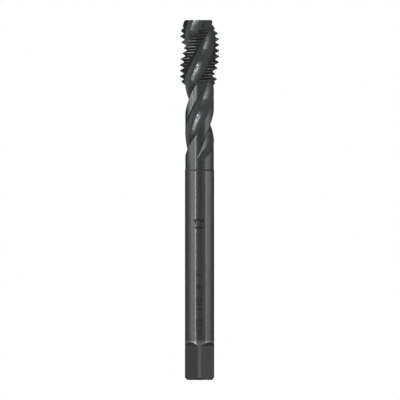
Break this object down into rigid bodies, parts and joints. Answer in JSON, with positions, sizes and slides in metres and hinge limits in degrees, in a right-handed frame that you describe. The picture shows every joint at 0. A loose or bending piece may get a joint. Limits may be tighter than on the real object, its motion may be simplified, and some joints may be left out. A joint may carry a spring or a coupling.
{
  "type": "thread tap",
  "caption": "Long-shank machine tap with helical flutes, a tapered lead, a ground round shank and a square drive end.",
  "frame": {"origin": "middle of the bottom face of the square end, on the tap's axis", "axes": "+Z along the axis towards the cutting end, -Y towards one corner of the square and the viewer of the picture"},
  "size_m": [0.012, 0.012, 0.11],
  "materials": {
    "tool_steel": "steam-oxidised high-speed steel, ground, dark grey satin"
  },
  "bodies": {
    "root": {"thread_tap": "tool_steel"}
  },
  "joints": []
}
